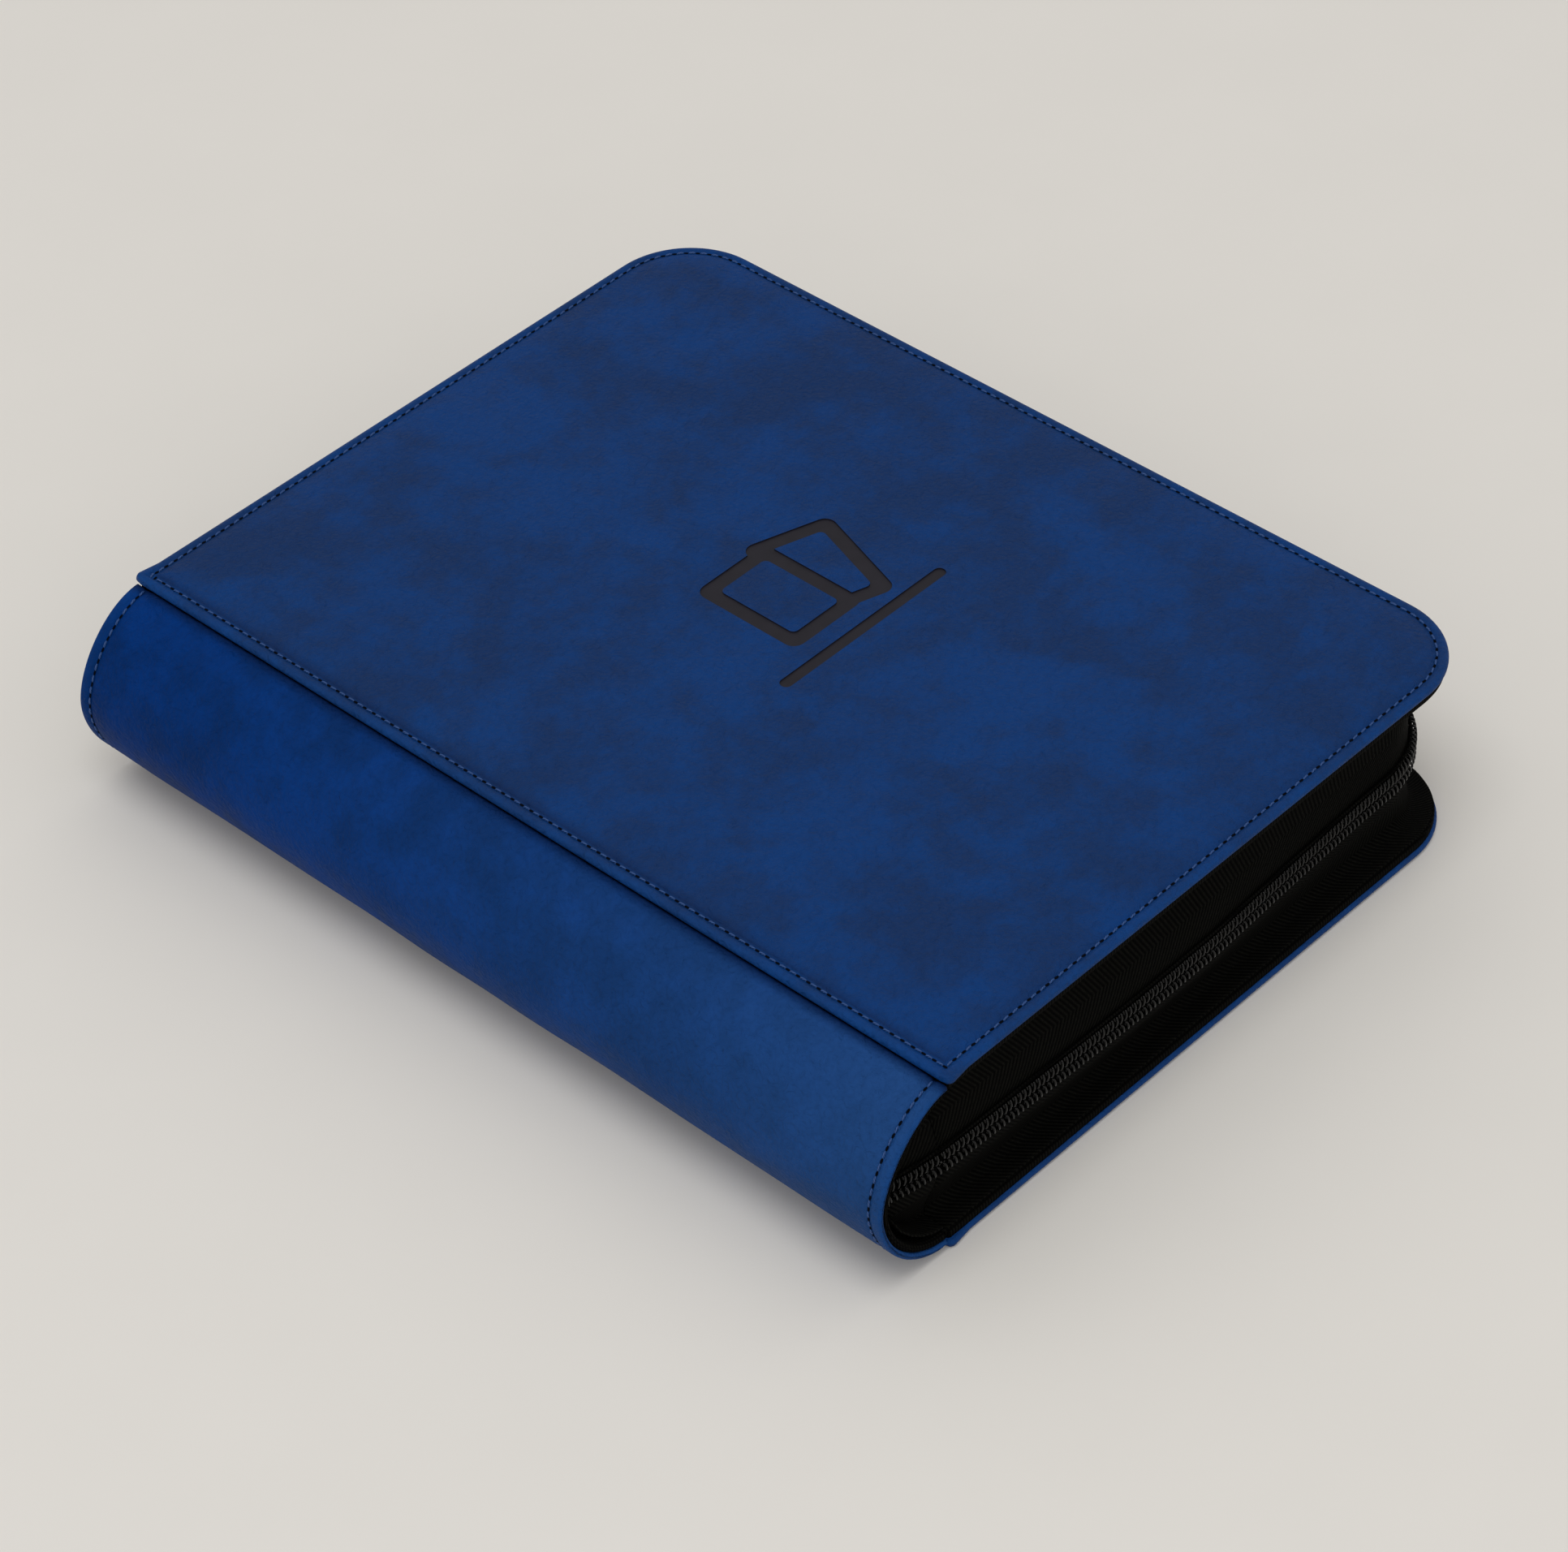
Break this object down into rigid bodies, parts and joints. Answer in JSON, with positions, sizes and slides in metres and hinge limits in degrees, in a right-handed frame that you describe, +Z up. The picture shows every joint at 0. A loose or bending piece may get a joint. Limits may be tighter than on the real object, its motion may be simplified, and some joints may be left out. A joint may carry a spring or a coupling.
{
  "type": "trading card binder",
  "caption": "Zip-around padded binder with a rounded spine, hinged pages of clear side-loading pockets for rigid card holders, and a sliding zip pull.",
  "frame": {"origin": "middle of the back cover's outer face, which the closed binder lies on", "axes": "+X from the spine to the fore edge, +Y along the spine, +Z up through the closed binder to the front cover"},
  "size_m": [0.2096, 0.2586, 0.052],
  "materials": {
    "leatherette": "embossed satin",
    "foam": "soft",
    "greyboard": "matt",
    "lining": "woven",
    "thread": "twisted",
    "zip_tape": "twill",
    "zip_coil": "moulded",
    "zip_metal": "lacquered",
    "page_sheet": "fine grain",
    "page_border": "welded",
    "page_film": "clear",
    "spacer": "closed-cell foam"
  },
  "bodies": {
    "back_cover": {"back_cover_skin": "leatherette", "back_cover_foam": "foam", "back_cover_board": "greyboard", "back_cover_lining": "lining", "back_cover_thread": "thread", "lower_zip_tape": "zip_tape", "lower_zip_coil": "zip_coil"},
    "spine": {"spine_skin": "leatherette", "spine_foam": "foam", "spine_stiffener": "greyboard", "spine_lining": "lining", "spine_thread": "thread", "spine_zip_tape_ends": "zip_tape", "spine_zip_coil_ends": "zip_coil", "zip_bottom_stop": "zip_metal", "zip_top_stops": "zip_metal", "binding_plate": "greyboard", "page_tabs": "page_sheet", "page_spacers": "spacer"},
    "front_cover": {"front_cover_skin": "leatherette", "front_cover_foam": "foam", "front_cover_board": "greyboard", "front_cover_lining": "lining", "front_cover_thread": "thread", "upper_zip_tape": "zip_tape", "upper_zip_coil": "zip_coil"},
    "zip_slider": {"zip_slider_body": "zip_metal", "zip_slider_bridge": "zip_metal"},
    "zip_pull": {"zip_pull_tab": "zip_metal"},
    "page_1": {"page_1_sheet": "page_sheet", "page_1_borders": "page_border", "page_1_films": "page_film"},
    "page_2": {"page_2_sheet": "page_sheet", "page_2_borders": "page_border", "page_2_films": "page_film"},
    "page_3": {"page_3_sheet": "page_sheet", "page_3_borders": "page_border", "page_3_films": "page_film"},
    "page_4": {"page_4_sheet": "page_sheet", "page_4_borders": "page_border", "page_4_films": "page_film"},
    "page_5": {"page_5_sheet": "page_sheet", "page_5_borders": "page_border", "page_5_films": "page_film"},
    "page_6": {"page_6_sheet": "page_sheet", "page_6_borders": "page_border", "page_6_films": "page_film"},
    "page_7": {"page_7_sheet": "page_sheet", "page_7_borders": "page_border", "page_7_films": "page_film"},
    "page_8": {"page_8_sheet": "page_sheet", "page_8_borders": "page_border", "page_8_films": "page_film"}
  },
  "joints": [
    {"name": "spine_hinge", "type": "hinge", "parent": "back_cover", "child": "spine", "pos_m": [-0.094, 0, 0.0009], "axis": [0, -1, 0], "range_deg": [0, 90]},
    {"name": "front_cover_hinge", "type": "hinge", "parent": "spine", "child": "front_cover", "pos_m": [-0.094, 0, 0.0511], "axis": [0, -1, 0], "range_deg": [0, 90]},
    {"name": "page_1_hinge", "type": "hinge", "parent": "spine", "child": "page_1", "pos_m": [-0.0865, 0, 0.00745], "axis": [0, -1, 0], "range_deg": [-90, 0]},
    {"name": "page_2_hinge", "type": "hinge", "parent": "spine", "child": "page_2", "pos_m": [-0.0865, 0, 0.01275], "axis": [0, -1, 0], "range_deg": [-65.7, 0]},
    {"name": "page_3_hinge", "type": "hinge", "parent": "spine", "child": "page_3", "pos_m": [-0.0865, 0, 0.01805], "axis": [0, -1, 0], "range_deg": [-50.4, 0]},
    {"name": "page_4_hinge", "type": "hinge", "parent": "spine", "child": "page_4", "pos_m": [-0.0865, 0, 0.02335], "axis": [0, -1, 0], "range_deg": [-39.6, 0]},
    {"name": "page_5_hinge", "type": "hinge", "parent": "spine", "child": "page_5", "pos_m": [-0.0865, 0, 0.02865], "axis": [0, -1, 0], "range_deg": [0, 39.6]},
    {"name": "page_6_hinge", "type": "hinge", "parent": "spine", "child": "page_6", "pos_m": [-0.0865, 0, 0.03395], "axis": [0, -1, 0], "range_deg": [0, 50.4]},
    {"name": "page_7_hinge", "type": "hinge", "parent": "spine", "child": "page_7", "pos_m": [-0.0865, 0, 0.03925], "axis": [0, -1, 0], "range_deg": [0, 65.7]},
    {"name": "page_8_hinge", "type": "hinge", "parent": "spine", "child": "page_8", "pos_m": [-0.0865, 0, 0.04455], "axis": [0, -1, 0], "range_deg": [0, 90]},
    {"name": "slider_slide", "type": "slide", "parent": "back_cover", "child": "zip_slider", "axis": [1, 0, 0], "range_m": [0, 0.14]},
    {"name": "pull_hinge", "type": "hinge", "parent": "zip_slider", "child": "zip_pull", "pos_m": [-0.082, 0.12845, 0.026], "axis": [0, 0, 1], "range_deg": [0, 160]}
  ],
  "couplings": [
    {"joint": "page_1_hinge", "follows": "spine_hinge", "ratio": -1},
    {"joint": "page_2_hinge", "follows": "spine_hinge", "ratio": -0.73},
    {"joint": "page_3_hinge", "follows": "spine_hinge", "ratio": -0.56},
    {"joint": "page_4_hinge", "follows": "spine_hinge", "ratio": -0.44},
    {"joint": "page_5_hinge", "follows": "front_cover_hinge", "ratio": 0.44},
    {"joint": "page_6_hinge", "follows": "front_cover_hinge", "ratio": 0.56},
    {"joint": "page_7_hinge", "follows": "front_cover_hinge", "ratio": 0.73},
    {"joint": "page_8_hinge", "follows": "front_cover_hinge", "ratio": 1}
  ]
}
